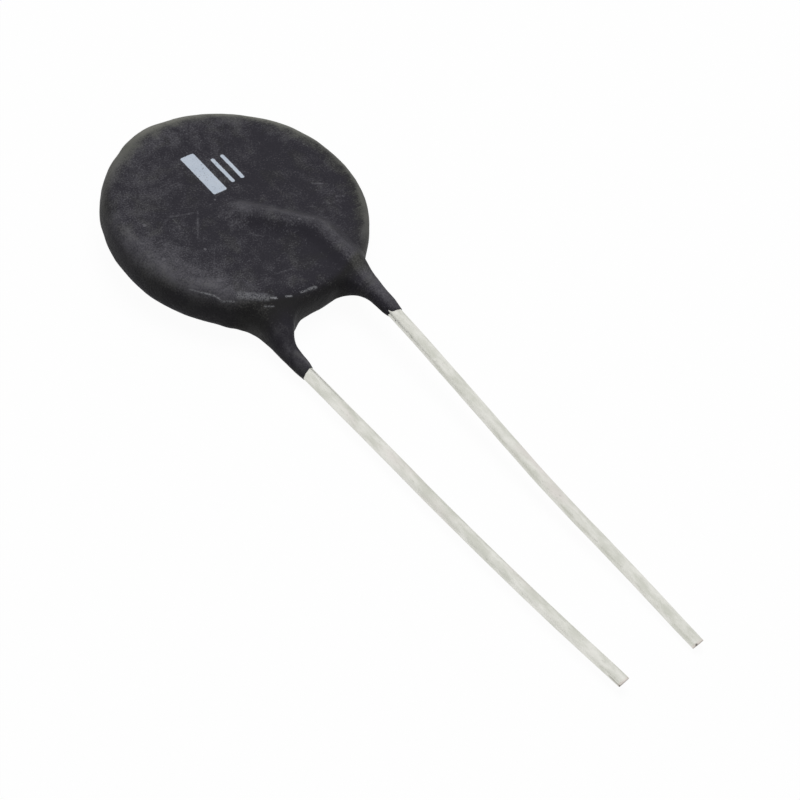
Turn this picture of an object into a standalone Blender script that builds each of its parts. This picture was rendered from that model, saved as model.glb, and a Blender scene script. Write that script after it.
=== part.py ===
"""A radial-lead NTC thermistor. A ceramic disc lies between two fired silver electrodes. A tinned wire
is soldered across each face. Black resin covers the disc and runs a little way down both wires."""

import math

import bmesh
import bpy
from mathutils import Vector, geometry

# Driving dimensions, in metres. The disc is modelled flat on XY round the Z axis, its leads to -Y.
CERAMIC_DIAMETER = 0.0189
CERAMIC_THICKNESS = 0.0020
CERAMIC_CHAMFER = 0.0002
ELECTRODE_MARGIN = 0.0006
ELECTRODE_THICKNESS = 0.0001
WIRE_DIAMETER = 0.0010
LEAD_SPACING = 0.00775
TIP_SPACING = 0.0074
LEAD_OFFSET = -0.00025
FREE_LEAD = 0.0360
LEAD_BOW = 0.0003
STEP_DOWN = 0.00035
STEP_RUN = 0.0018
KNEE_INSET = 0.0042
KNEE_RADIUS = 0.0016
HOOK_LENGTH = 0.0058
SOLDER_RADIUS = 0.0012
SOLDER_RISE = 0.0008
SOLDER_OVERRUN = 0.0010
SOLDER_TOE = 0.0005
COAT_ON_FACE = 0.0006
COAT_AT_RIM = 0.0006
COAT_OVER_WIRE = 0.0003
RIM_EDGE = 0.0007
RIDGE_BLEND = 0.0007
RIDGE_REACH = 0.0018
NECK_FADE = 0.0018
NECK_ROOT_WIDTH = 0.0029
LOWER_NECK_LEAN = 0.0007
ARCH_MIDDLE = 0.0009
NECK_WALL = 0.00011
RUN_DOWN = 0.0042
FIT_GAP = 0.00005
MERGE_DISTANCE = 0.000001

# The hook's turn from the lead's own direction, in degrees
HOOK_ANGLE = 45.0

# How finely the round forms are divided
DISC_SEGMENTS = 48
WIRE_BEVEL_RESOLUTION = 4
BOW_STEPS = 8
BEND_STEPS = 4
COAT_LEVELS = 2
COAT_ROWS = 6
NECK_CORNERS = 10

# Shares that shape the coating
CORNER_SHARE = 0.3
EDGE_CREASE = 0.5
RIM_BAND_SHARE = 0.68
NECK_STATIONS = (0.20, 0.52, 1.25)
NECK_TAPER = 3.6

# How fast each neck's inner face closes on its wire, by side. The lower neck keeps a fuller root.
INNER_TAPER = {1: 2.0, -1: 1.0}

# Densities, in kilograms for each cubic metre, by the start of the object's name
DENSITIES = {
    "resin_coating": 1600.0,
    "ceramic_disc": 5000.0,
    "electrode": 10400.0,
    "solder": 7400.0,
    "lead": 8900.0,
}

# Linear colours
RESIN_COLOUR = (0.040, 0.039, 0.045)
OXIDE_COLOUR = (0.050, 0.045, 0.040)
SILVER_COLOUR = (0.75, 0.74, 0.70)
SOLDER_COLOUR = (0.55, 0.55, 0.55)
TIN_COLOUR = (0.70, 0.69, 0.64)

# The convex hull is worked out in millimetres. A facet further from level, in degrees, isn't a rest.
HULL_SCALE = 1000.0
MOST_TILT = 12.0

# Heights and radii that follow from the sizes above
WIRE_RADIUS = WIRE_DIAMETER / 2
ELECTRODE_TOP = CERAMIC_THICKNESS / 2 + FIT_GAP + ELECTRODE_THICKNESS
SEAT_HEIGHT = ELECTRODE_TOP + FIT_GAP
WIRE_HEIGHT = SEAT_HEIGHT + WIRE_RADIUS
FACE_HEIGHT = SEAT_HEIGHT + COAT_ON_FACE
CERAMIC_RADIUS = CERAMIC_DIAMETER / 2
CAVITY_RADIUS = CERAMIC_RADIUS + FIT_GAP
COATED_RADIUS = CAVITY_RADIUS + COAT_AT_RIM
NECK_END_RADIUS = WIRE_RADIUS + FIT_GAP + NECK_WALL
MOUTH_Y = -COATED_RADIUS - RUN_DOWN
TIP_Y = MOUTH_Y - FREE_LEAD
STEP_START_Y = -math.sqrt(CERAMIC_RADIUS**2 - (LEAD_SPACING / 2 - abs(LEAD_OFFSET)) ** 2)
STEP_END_Y = STEP_START_Y - STEP_RUN

# The upper wire is on side 1 of the disc, and the lower one on side -1
SIDES = {"upper": 1, "lower": -1}


def clear_scene():
    """Removes what the open file holds, so that the part stands alone."""
    for obj in list(bpy.data.objects):
        bpy.data.objects.remove(obj, do_unlink=True)
    for collection in list(bpy.data.collections):
        bpy.data.collections.remove(collection)


def new_collection(name):
    collection = bpy.data.collections.new(name)
    bpy.context.scene.collection.children.link(collection)
    return collection


def make_material(name, colour, roughness, metallic):
    """A Principled material. The colour is linear red, green and blue."""
    material = bpy.data.materials.new(name)
    material.use_nodes = True
    shader = material.node_tree.nodes["Principled BSDF"]
    shader.inputs["Base Color"].default_value = (*colour, 1.0)
    shader.inputs["Roughness"].default_value = roughness
    shader.inputs["Metallic"].default_value = metallic
    material.diffuse_color = (*colour, 1.0)
    return material


def link_mesh(name, bm, collection):
    """Puts a finished bmesh into a new object of the collection."""
    mesh = bpy.data.meshes.new(name)
    bm.to_mesh(mesh)
    bm.free()
    obj = bpy.data.objects.new(name, mesh)
    collection.objects.link(obj)
    return obj


def as_cutter(obj):
    obj.hide_render = True
    obj.display_type = "WIRE"
    return obj


def shade_round(obj, crease_angle=35.0):
    obj.data.shade_smooth()
    obj.data.set_sharp_from_angle(angle=math.radians(crease_angle))


def evaluated_mesh(obj):
    """A new mesh with the object's modifiers applied, or a curve's tube with its caps welded on."""
    graph = bpy.context.evaluated_depsgraph_get()
    mesh = bpy.data.meshes.new_from_object(obj.evaluated_get(graph))
    bm = bmesh.new()
    bm.from_mesh(mesh)
    bmesh.ops.remove_doubles(bm, verts=bm.verts, dist=MERGE_DISTANCE)
    bm.to_mesh(mesh)
    bm.free()
    return mesh


def cut_away(obj, cutter):
    """Adds an exact Boolean difference, which stays live on the object."""
    cut = obj.modifiers.new("cut_" + cutter.name, "BOOLEAN")
    cut.operation = "DIFFERENCE"
    cut.solver = "EXACT"
    cut.object = cutter


def turned_plate(name, radius, low, high, chamfer, collection):
    """A round plate between two heights, turned about Z from its half section."""
    section = [
        (0.0, high),
        (radius - chamfer, high),
        (radius, high - chamfer),
        (radius, low + chamfer),
        (radius - chamfer, low),
        (0.0, low),
    ]
    bm = bmesh.new()
    corners = [bm.verts.new((x, 0.0, z)) for x, z in section]
    for first, second in zip(corners, corners[1:]):
        bm.edges.new((first, second))
    bmesh.ops.remove_doubles(bm, verts=bm.verts, dist=MERGE_DISTANCE)
    obj = link_mesh(name, bm, collection)
    turn = obj.modifiers.new("turn", "SCREW")
    turn.axis = "Z"
    turn.angle = math.tau
    turn.steps = DISC_SEGMENTS
    turn.render_steps = DISC_SEGMENTS
    turn.use_merge_vertices = True
    turn.merge_threshold = MERGE_DISTANCE
    return obj


def tube_along(name, points, radii, collection):
    """A closed round tube whose centre line is a polyline, as a mesh."""
    curve = bpy.data.curves.new(name, "CURVE")
    curve.dimensions = "3D"
    curve.twist_mode = "Z_UP"
    curve.bevel_depth = max(radii)
    curve.bevel_resolution = WIRE_BEVEL_RESOLUTION
    curve.use_fill_caps = True
    line = curve.splines.new("POLY")
    line.points.add(len(points) - 1)
    for spot, place, radius in zip(line.points, points, radii):
        spot.co = (*place, 1.0)
        spot.radius = radius / max(radii)
    guide = bpy.data.objects.new(name + "_line", curve)
    collection.objects.link(guide)
    tube = bpy.data.objects.new(name, evaluated_mesh(guide))
    collection.objects.link(tube)
    bpy.data.objects.remove(guide, do_unlink=True)
    return tube


def lead_x(side):
    return LEAD_OFFSET + side * LEAD_SPACING / 2


def knee_of(side):
    """Where the wire turns on the disc's face, and the direction of its hooked end from there."""
    angle = math.radians(HOOK_ANGLE)
    knee = Vector((lead_x(side), KNEE_INSET - CERAMIC_RADIUS, side * WIRE_HEIGHT))
    away = Vector((-side * math.sin(angle), math.cos(angle), 0.0))
    return knee, away


def arc_round(corner, incoming, outgoing, radius):
    """Points of the bend that takes the place of a corner between two directions."""
    turn = incoming.angle(outgoing)
    centre = corner + (outgoing - incoming).normalized() * radius / math.cos(turn / 2)
    setback = radius * math.tan(turn / 2)
    first = (corner - incoming * setback - centre).normalized()
    last = (corner + outgoing * setback - centre).normalized()
    return [centre + first.slerp(last, step / BEND_STEPS) * radius for step in range(BEND_STEPS + 1)]


def wire_height(y):
    """Height of the upper wire's centre: level on the ceramic, a step down, then even to the tip."""
    stepped = min(1.0, max(0.0, (STEP_START_Y - y) / STEP_RUN))
    run_out = max(0.0, (STEP_END_Y - y) / (STEP_END_Y - TIP_Y))
    return (WIRE_HEIGHT - STEP_DOWN * stepped) * (1 - run_out)


def lead_line(side, overrun=0.0):
    """The wire's centre line from its hooked end to its cut tip. The overrun lengthens the hooked end."""
    knee, away = knee_of(side)
    points = [knee + away * (HOOK_LENGTH + overrun)]
    points += arc_round(knee, -away, Vector((0.0, -1.0, 0.0)), KNEE_RADIUS)
    points.append(Vector((lead_x(side), STEP_START_Y, side * WIRE_HEIGHT)))
    points.append(Vector((lead_x(side), STEP_END_Y, side * wire_height(STEP_END_Y))))
    for step in range(BOW_STEPS + 1):
        share = step / BOW_STEPS
        bow = -LEAD_BOW * 4 * share * (1 - share)
        pinch = side * (TIP_SPACING - LEAD_SPACING) / 2 * share
        y = MOUTH_Y - FREE_LEAD * share
        points.append(Vector((lead_x(side) + pinch + bow, y, side * wire_height(y))))
    return points


def make_lead(name, side, grow, collection):
    """One tinned wire, or with a positive growth the bore that clears it."""
    points = lead_line(side, overrun=grow)
    return tube_along(name, points, [WIRE_RADIUS + grow] * len(points), collection)


def keep_beyond(obj, place, normal):
    """Cuts a mesh by a plane, keeps what lies on the normal's side, and closes the cut."""
    bm = bmesh.new()
    bm.from_mesh(obj.data)
    everything = bm.verts[:] + bm.edges[:] + bm.faces[:]
    bmesh.ops.bisect_plane(bm, geom=everything, plane_co=place, plane_no=normal, clear_inner=True)
    bmesh.ops.holes_fill(bm, edges=[edge for edge in bm.edges if edge.is_boundary], sides=0)
    bmesh.ops.recalc_face_normals(bm, faces=bm.faces)
    bm.to_mesh(obj.data)
    bm.free()


def make_solder(name, side, grow, floor, collection):
    """A mound of solder along the hook, flat where it rests on the electrode."""
    knee, away = knee_of(side)
    sink = Vector((0.0, 0.0, side * (SOLDER_RISE - SOLDER_RADIUS - WIRE_RADIUS)))
    length = HOOK_LENGTH + SOLDER_OVERRUN
    toe = SOLDER_TOE + grow
    full = SOLDER_RADIUS + grow
    stations = (-grow, SOLDER_OVERRUN, length / 2, length - SOLDER_OVERRUN, length + grow)
    points = [knee + sink + away * station for station in stations]
    mound = tube_along(name, points, [toe, full, full, full, toe], collection)
    keep_beyond(mound, Vector((0.0, 0.0, side * floor)), Vector((0.0, 0.0, side)))
    return mound


def column_lines():
    """The cage's lengthwise grid lines, as shares of its half width: three for each neck, and the ends."""
    half_width = COATED_RADIUS * math.sqrt(1 - CORNER_SHARE)
    places = []
    for side in (-1, 1):
        middle = lead_x(side) + neck_lean(side, 1.0)
        places += [middle + step * NECK_ROOT_WIDTH / 2 for step in (-1, 0, 1)]
    places.insert(3, ARCH_MIDDLE)
    inner = [place / half_width for place in places]
    ends = [(inner[0] - 1) / 2, (inner[-1] + 1) / 2]
    return [-1.0, ends[0]] + inner + [ends[1], 1.0]


def on_disc(across, along, radius):
    """Carries a point of the square from -1 to 1 to a disc, its edges to the disc's edge."""
    x = across * math.sqrt(1 - CORNER_SHARE * along**2)
    y = along * math.sqrt(1 - (1 - CORNER_SHARE) * across**2)
    return radius * x, radius * y


def cage_radius(wanted, next_ring):
    """Radius of the two middle rings, which end at 23 parts of it and 1 part of the next ring."""
    return (24 * wanted - next_ring) / 23


def drawn_in(radius, corners):
    """The radius of a cage ring that subdivides to a circle of the given radius."""
    return radius * 3 / (2 + math.cos(math.tau / corners))


def draw_out(bm, region, keep=False):
    """Extrudes a region of faces and returns the new one. The old faces go, unless they are kept."""
    grown = bmesh.ops.extrude_face_region(bm, geom=region)["geom"]
    if not keep:
        bmesh.ops.delete(bm, geom=region, context="FACES")
    return [piece for piece in grown if isinstance(piece, bmesh.types.BMFace)]


def disc_cage(columns):
    """A slab of quads with a round outline. Each vertex knows its column, row and level."""
    bm = bmesh.new()
    bmesh.ops.create_grid(bm, x_segments=len(columns) - 1, y_segments=COAT_ROWS, size=1.0)
    column = bm.verts.layers.int.new("column")
    row = bm.verts.layers.int.new("row")
    level = bm.verts.layers.int.new("level")
    for vert in bm.verts:
        vert[column] = round((vert.co.x + 1) / 2 * (len(columns) - 1))
        vert[row] = round((vert.co.y + 1) / 2 * COAT_ROWS)
    flat_ring = COATED_RADIUS - RIM_EDGE
    rim_corners = 2 * (len(columns) - 1 + COAT_ROWS)
    wide_ring = drawn_in(cage_radius(COATED_RADIUS, flat_ring), rim_corners)
    band = RIM_BAND_SHARE * FACE_HEIGHT
    rings = [(flat_ring, -FACE_HEIGHT), (wide_ring, -band), (wide_ring, band), (flat_ring, FACE_HEIGHT)]
    region = bm.faces[:]
    for number, (radius, height) in enumerate(rings):
        if number:
            region = draw_out(bm, region, keep=number == 1)
        for vert in {vert for face in region for vert in face.verts}:
            vert[level] = number
            along = vert[row] * 2 / COAT_ROWS - 1
            vert.co.x, vert.co.y = on_disc(columns[vert[column]], along, radius)
            vert.co.z = height
    return bm


def neck_lean(side, left):
    """How far a neck leans towards the arch. Only the lower one does, and most at its root."""
    return 0.0 if side > 0 else LOWER_NECK_LEAN * left**2


def neck_section(side, share):
    """Half width, outer face, inner face and lean of a neck at a share of its run down the wire."""
    left = max(0.0, 1.0 - share) ** NECK_TAPER
    half_width = NECK_END_RADIUS + (NECK_ROOT_WIDTH / 2 - NECK_END_RADIUS) * left
    wire = wire_height(-COATED_RADIUS - share * RUN_DOWN)
    outer = wire + NECK_END_RADIUS + (COAT_OVER_WIRE - NECK_WALL) * left
    root = left ** INNER_TAPER[side]
    inner = (wire - NECK_END_RADIUS) * (1 - root) - FACE_HEIGHT * root
    return half_width, side * outer, side * inner, neck_lean(side, left)


def draw_neck(bm, side, first_column):
    """Extrudes six faces of the rim along the wire, and rounds each new section on to it. Its corners are
    the four levels on its two sides, and the middle column at its top and bottom."""
    column = bm.verts.layers.int["column"]
    row = bm.verts.layers.int["row"]
    level = bm.verts.layers.int["level"]
    region = []
    for face in bm.faces:
        in_row = all(vert[row] == 0 for vert in face.verts)
        in_columns = all(0 <= vert[column] - first_column <= 2 for vert in face.verts)
        if in_row and in_columns:
            region.append(face)
    slice_angle = math.tau / NECK_CORNERS
    middle_level = 3 / 2
    for share in NECK_STATIONS:
        region = draw_out(bm, region)
        half_width, outer, inner, lean = neck_section(side, share)
        wide = drawn_in(half_width, NECK_CORNERS)
        tall = drawn_in(abs(outer - inner) / 2, NECK_CORNERS)
        for vert in {vert for face in region for vert in face.verts}:
            across = vert[column] - first_column - 1
            angle = (vert[level] - middle_level) * slice_angle
            reach = math.cos(angle) if across else 0.0
            lift = math.sin(angle) if across or vert[level] in (1, 2) else math.copysign(1.0, angle)
            vert.co.x = lead_x(side) + lean + across * reach * wide
            vert.co.y = -COATED_RADIUS - share * RUN_DOWN
            vert.co.z = (outer + inner) / 2 + lift * tall


def crease_rim(bm, last_column):
    """Holds the two edges of the disc a little tighter than plain subdivision would."""
    column = bm.verts.layers.int["column"]
    row = bm.verts.layers.int["row"]
    level = bm.verts.layers.int["level"]
    crease = bm.edges.layers.float.new("crease_edge")
    for edge in bm.edges:
        levels = {vert[level] for vert in edge.verts}
        outermost = True
        for vert in edge.verts:
            outermost &= vert[column] in (0, last_column) or vert[row] in (0, COAT_ROWS)
        if outermost and levels in ({0}, {3}):
            edge[crease] = EDGE_CREASE


def smooth_step(share):
    share = min(1.0, max(0.0, share))
    return share * share * (3 - 2 * share)


def distance_to_line(place, line):
    """The shortest distance in plan from a place to a polyline."""
    best = math.inf
    for start, end in zip(line, line[1:]):
        run = (end - start).xy
        share = (place.xy - start.xy).dot(run) / run.length_squared
        nearest = start.xy + run * min(1.0, max(0.0, share))
        best = min(best, (place.xy - nearest).length)
    return best


def smooth_max(first, second, blend):
    """The larger of two heights, rounded where they are closer than the blend."""
    close = max(0.0, 1.0 - abs(first - second) / blend)
    return max(first, second) + blend * close**2 / 4


def raise_ridges(mesh):
    """Drapes the skin over both wires. It is made finer there first, so that the ridges come out round."""
    lines = {side: lead_line(side) for side in SIDES.values()}
    cover = WIRE_RADIUS + FIT_GAP + COAT_OVER_WIRE
    first_station = -COATED_RADIUS - NECK_STATIONS[0] * RUN_DOWN
    bm = bmesh.new()
    bm.from_mesh(mesh)
    near = []
    for edge in bm.edges:
        middle = (edge.verts[0].co + edge.verts[1].co) / 2
        side = 1 if middle.z > 0 else -1
        on_face = abs(middle.z) > FACE_HEIGHT / 2 and middle.y > -COATED_RADIUS
        if on_face and distance_to_line(middle, lines[side]) < RIDGE_REACH:
            near.append(edge)
    bmesh.ops.subdivide_edges(bm, edges=near, cuts=1, use_grid_fill=True)
    for vert in bm.verts:
        height = abs(vert.co.z)
        side = 1 if vert.co.z > 0 else -1
        distance = distance_to_line(vert.co, lines[side])
        drape = wire_height(vert.co.y) + cover - distance**2 / (2 * cover)
        above_wall = smooth_step(2 * height / FACE_HEIGHT - 1)
        before_neck = smooth_step((vert.co.y - first_station) / NECK_FADE)
        lifted = smooth_max(height, drape, RIDGE_BLEND)
        vert.co.z = side * (height + (lifted - height) * above_wall * before_neck)
    bm.to_mesh(mesh)
    bm.free()


def make_coating(collection, cutters):
    """The dipped skin: a rounded disc with two necks, hollow inside for all that it covers."""
    columns = column_lines()
    bm = disc_cage(columns)
    crease_rim(bm, len(columns) - 1)
    draw_neck(bm, -1, 2)
    draw_neck(bm, 1, 6)
    bmesh.ops.recalc_face_normals(bm, faces=bm.faces)
    cage = link_mesh("coating_cage", bm, cutters)
    as_cutter(cage)
    soften = cage.modifiers.new("soften", "SUBSURF")
    soften.levels = COAT_LEVELS
    soften.render_levels = COAT_LEVELS
    skin = evaluated_mesh(cage)
    raise_ridges(skin)
    coating = bpy.data.objects.new("resin_coating", skin)
    collection.objects.link(coating)
    keep_beyond(coating, Vector((0.0, MOUTH_Y, 0.0)), Vector((0.0, 1.0, 0.0)))
    core = turned_plate("core_space", CAVITY_RADIUS, -SEAT_HEIGHT, SEAT_HEIGHT, 0.0, cutters)
    cut_away(coating, as_cutter(core))
    for word, side in SIDES.items():
        mound = make_solder("solder_space_" + word, side, FIT_GAP, 0.0, cutters)
        cut_away(coating, as_cutter(mound))
        bore = make_lead("lead_bore_" + word, side, FIT_GAP, cutters)
        cut_away(coating, as_cutter(bore))
    return coating


def give_material(obj, colour, roughness, metallic=0.0):
    """Each object has one material of its own, which carries its name."""
    obj.data.materials.clear()
    obj.data.materials.append(make_material(obj.name + "_surface", colour, roughness, metallic))


def make_core(word, side, collection):
    """What lies on one face of the ceramic: its electrode, its solder joint and its wire."""
    inner = side * (CERAMIC_THICKNESS / 2 + FIT_GAP)
    low, high = sorted((inner, side * ELECTRODE_TOP))
    radius = CERAMIC_RADIUS - ELECTRODE_MARGIN
    electrode = turned_plate("electrode_" + word, radius, low, high, 0.0, collection)
    give_material(electrode, SILVER_COLOUR, 0.35, 1.0)
    joint = make_solder("solder_" + word, side, 0.0, SEAT_HEIGHT, collection)
    cut_away(joint, bpy.data.objects["lead_bore_" + word])
    give_material(joint, SOLDER_COLOUR, 0.3, 1.0)
    lead = make_lead("lead_" + word, side, 0.0, collection)
    give_material(lead, TIN_COLOUR, 0.35, 1.0)
    shade_round(lead)


def weigh(obj):
    """The object's corner points, its mass, and its mass times its centre. Its density goes by its name."""
    density = next(value for start, value in DENSITIES.items() if obj.name.startswith(start))
    bm = bmesh.new()
    bm.from_object(obj, bpy.context.evaluated_depsgraph_get())
    bmesh.ops.triangulate(bm, faces=bm.faces)
    mass = 0.0
    moment = Vector()
    for face in bm.faces:
        first, second, third = (vert.co for vert in face.verts)
        share = first.dot(second.cross(third)) / 6 * density
        mass += share
        moment += (first + second + third) / 4 * share
    points = [vert.co.copy() for vert in bm.verts]
    bm.free()
    return points, mass, moment


def facet_below(points, centre):
    """The outward normal of the hull's facet that lies under the centre of mass."""
    bm = bmesh.new()
    for point in points:
        bm.verts.new(point * HULL_SCALE)
    bmesh.ops.convex_hull(bm, input=bm.verts)
    bmesh.ops.recalc_face_normals(bm, faces=bm.faces)
    bm.normal_update()
    found = []
    for face in bm.faces:
        corners = [vert.co for vert in face.verts]
        under = face.normal.z < -math.cos(math.radians(MOST_TILT))
        if under and geometry.intersect_point_tri(centre * HULL_SCALE, *corners):
            depth = (corners[0] - centre * HULL_SCALE).dot(face.normal)
            found.append((depth, face.normal.copy()))
    bm.free()
    return min(found, key=lambda pair: pair[0])[1]


def lay_down(parts, cutters):
    """Turns the object on to the facet that it rests on, with the ground at Z = 0 below its middle."""
    points = []
    mass = 0.0
    moment = Vector()
    for obj in parts.objects:
        more_points, more_mass, more_moment = weigh(obj)
        points += more_points
        mass += more_mass
        moment += more_moment
    normal = facet_below(points, moment / mass)
    turn = normal.rotation_difference(Vector((0.0, 0.0, -1.0)))
    turned = [turn @ point for point in points]
    low = Vector(min(point[axis] for point in turned) for axis in range(3))
    high = Vector(max(point[axis] for point in turned) for axis in range(3))
    rest = bpy.data.objects.new("rest_on_ground", None)
    rest.rotation_mode = "QUATERNION"
    rest.rotation_quaternion = turn
    rest.location = Vector((-(low.x + high.x) / 2, -(low.y + high.y) / 2, -low.z))
    for obj in [*parts.objects, *cutters.objects]:
        obj.parent = rest
    parts.objects.link(rest)


def build():
    clear_scene()
    parts = new_collection("ntc_thermistor")
    cutters = new_collection("cutters")
    coating = make_coating(parts, cutters)
    give_material(coating, RESIN_COLOUR, 0.6)
    shade_round(coating)
    half = CERAMIC_THICKNESS / 2
    ceramic = turned_plate("ceramic_disc", CERAMIC_RADIUS, -half, half, CERAMIC_CHAMFER, parts)
    give_material(ceramic, OXIDE_COLOUR, 0.8)
    for word, side in SIDES.items():
        make_core(word, side, parts)
    lay_down(parts, cutters)


build()
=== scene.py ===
# %% [markdown]
# # A dipped thermistor disc, from a imported model to a finished look
#
# The object is a round ceramic disc under a skin of black resin, with two tinned wires. It lies on a
# white table, as it would come to rest. The imported model gives the true sizes. This lesson adds what
# the solids can't show: a softer, livelier skin, dust and scuffs, ink, and the look of dull tin. Some
# highlights and shade on the resin and the wires are painted into their colour.

# %% Load the fixed frame
import math
from collections import Counter
from functools import reduce

import bpy
from mathutils import Euler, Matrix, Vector


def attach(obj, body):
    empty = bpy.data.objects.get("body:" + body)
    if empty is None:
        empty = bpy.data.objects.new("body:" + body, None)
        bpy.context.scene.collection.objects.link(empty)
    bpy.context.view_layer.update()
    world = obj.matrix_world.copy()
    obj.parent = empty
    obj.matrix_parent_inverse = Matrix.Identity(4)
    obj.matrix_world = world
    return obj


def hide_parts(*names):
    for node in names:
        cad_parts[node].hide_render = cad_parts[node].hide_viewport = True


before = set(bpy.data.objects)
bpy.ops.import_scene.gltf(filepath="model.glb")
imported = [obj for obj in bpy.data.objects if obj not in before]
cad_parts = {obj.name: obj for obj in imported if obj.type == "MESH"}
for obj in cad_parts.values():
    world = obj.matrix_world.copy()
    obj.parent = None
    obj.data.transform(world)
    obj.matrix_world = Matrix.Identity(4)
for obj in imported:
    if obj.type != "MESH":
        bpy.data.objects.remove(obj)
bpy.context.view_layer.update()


# %% [markdown]
# ## Where the disc is
#
# The disc doesn't lie level. The ridge over the lower wire holds one side up, so the whole object
# leans by about four degrees. Patterns are easier to place in the disc's own axes, so its middle and
# its lean are written down once here. In these axes the two wires run towards minus Y.

# %% The disc's own axes
MM = 0.001
DISC_MIDDLE = Vector((0.0, 20.1207, 2.5843)) * MM
LEAN_TURN = Euler([math.radians(angle) for angle in (2.118, 3.854, 0.071)])
LEAN = LEAN_TURN.to_matrix()
UPRIGHT = LEAN.inverted()


def from_disc(x, y, z):
    """Carries a place in the disc's own axes, in millimetres, to the scene."""
    return LEAN @ Vector((x, y, z)) * MM + DISC_MIDDLE


def to_disc(place):
    """Carries a place in the scene to the disc's own axes, in millimetres."""
    return UPRIGHT @ (place - DISC_MIDDLE) / MM


print("the disc's middle in its own axes:", to_disc(DISC_MIDDLE))

# %% [markdown]
# ## The camera
#
# A product photograph of a small part is taken from far off with a long lens, so that near and far
# edges keep nearly the same size. The camera looks down at about 46 degrees and is rolled a little,
# which lets the wires run to the lower right corner.

# %% Camera
SENSOR_WIDTH = 36.0
LENS = 402.474
CAMERA_PLACE = Vector((-314.051, -321.699, 472.114)) * MM
CAMERA_TURN = (43.375, -5.524, -38.476)
camera_data = bpy.data.cameras.new("camera")
camera_data.sensor_width = SENSOR_WIDTH
camera_data.lens = LENS
camera = bpy.data.objects.new("camera", camera_data)
bpy.context.scene.collection.objects.link(camera)
camera.location = CAMERA_PLACE
camera.rotation_euler = [math.radians(angle) for angle in CAMERA_TURN]
bpy.context.scene.camera = camera
print("camera is", round(camera.location.length, 3), "m from the origin")

# %% [markdown]
# ## Shader maths that reads like maths
#
# A pattern such as a scuff is a small sum: a distance, a fade, a little noise. Written node by node
# it's hard to follow. The class below wraps one socket, and each operator on it adds a Math node.


# %% Values
class Value:
    """One number that varies over a surface. Sums written with it add Math nodes."""

    def __init__(self, finish, socket):
        self.finish = finish
        self.socket = socket

    def __add__(self, other):
        return self.finish.maths("ADD", self, other)

    __radd__ = __add__

    def __sub__(self, other):
        return self.finish.maths("SUBTRACT", self, other)

    def __rsub__(self, other):
        return self.finish.maths("SUBTRACT", other, self)

    def __mul__(self, other):
        return self.finish.maths("MULTIPLY", self, other)

    __rmul__ = __mul__

    def __pow__(self, other):
        return self.finish.maths("POWER", self, other)

    def __abs__(self):
        return self.finish.maths("ABSOLUTE", self)


print("ready:", Value.__name__)

# %% [markdown]
# A second class keeps the nodes of one material. Any node is added with one method, which takes the
# node's kind, its settings, and the values or links of its sockets. The room's light has nodes too,
# so the class takes either of them.


# %% Finishes
class Finish:
    """The nodes of a material, or of the room's light."""

    def __init__(self, owner):
        owner.use_nodes = True
        self.owner = owner
        self.tree = owner.node_tree

    def give(self, node, inputs):
        """Links each varying value to its socket on a node, and writes each constant on it."""
        for name, value in inputs.items():
            if isinstance(value, Value):
                self.tree.links.new(value.socket, node.inputs[name])
            else:
                node.inputs[name].default_value = value

    def add(self, kind, settings, inputs, output=0):
        """Adds a node: its settings first, then the values or links of its sockets."""
        node = self.tree.nodes.new(kind)
        for name, setting in settings.items():
            setattr(node, name, setting)
        self.give(node, inputs)
        return Value(self, node.outputs[output])

    def maths(self, operation, *values):
        """Adds a Math node."""
        return self.add("ShaderNodeMath", {"operation": operation}, dict(enumerate(values)))

    def change(self, name, inputs):
        """Gives values to a node that was there from the start."""
        self.give(self.tree.nodes[name], inputs)


def new_finish(name):
    """A new material with a name."""
    return Finish(bpy.data.materials.new(name))


def paint(piece, finish):
    """Gives a piece one finish in place of all that it has."""
    piece.data.materials.clear()
    piece.data.materials.append(finish.owner)


print("materials before the first finish:", len(bpy.data.materials))

# %% [markdown]
# ## Patterns
#
# Six short functions are enough for every finish here: soft noise, a fade between two levels, a blend
# of two colours, the larger and the smaller of two values, and a bump.

# %% Patterns
# A Mix node has sockets for numbers, vectors and colours. These are its share and its colours.
MIX_SHARE, MIX_FIRST, MIX_SECOND, MIXED = 0, 6, 7, 2


def noise(place, scale, detail=3.0, rough=0.55, warp=0.0):
    """Soft noise from 0 to 1. The scale is in waves for each unit of the place."""
    inputs = {"Vector": place, "Scale": scale, "Detail": detail, "Roughness": rough, "Distortion": warp}
    return place.finish.add("ShaderNodeTexNoise", {}, inputs)


def fade(value, start, end):
    """0 at the start, 1 at the end, and smooth between. The start may be the larger one."""
    settings = {"interpolation_type": "SMOOTHSTEP", "clamp": True}
    inputs = {"Value": value, "From Min": start, "From Max": end, "To Min": 0.0, "To Max": 1.0}
    return value.finish.add("ShaderNodeMapRange", settings, inputs)


def blend(share, first, second):
    """A colour between two others."""
    settings = {"data_type": "RGBA", "clamp_factor": True}
    inputs = {MIX_SHARE: share, MIX_FIRST: first, MIX_SECOND: second}
    return share.finish.add("ShaderNodeMix", settings, inputs, MIXED)


def larger(first, second):
    """The larger of two values. It joins two masks."""
    return first.finish.maths("MAXIMUM", first, second)


def smaller(first, second):
    """The smaller of two values. It finds the nearer of two things."""
    return first.finish.maths("MINIMUM", first, second)


def bump(height, depth, under=None):
    """A bump of a depth in metres, on top of another bump if there is one."""
    inputs = {"Height": height, "Distance": depth, "Strength": 1.0}
    if under is not None:
        inputs["Normal"] = under
    return height.finish.add("ShaderNodeBump", {}, inputs)


print("a mixed colour comes from output", MIXED, "of its node")

# %% [markdown]
# A pattern has to stay where it is on the object. So each one starts from the object's own
# coordinates, turned into the disc's axes, and marks are placed there in millimetres.


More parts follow.
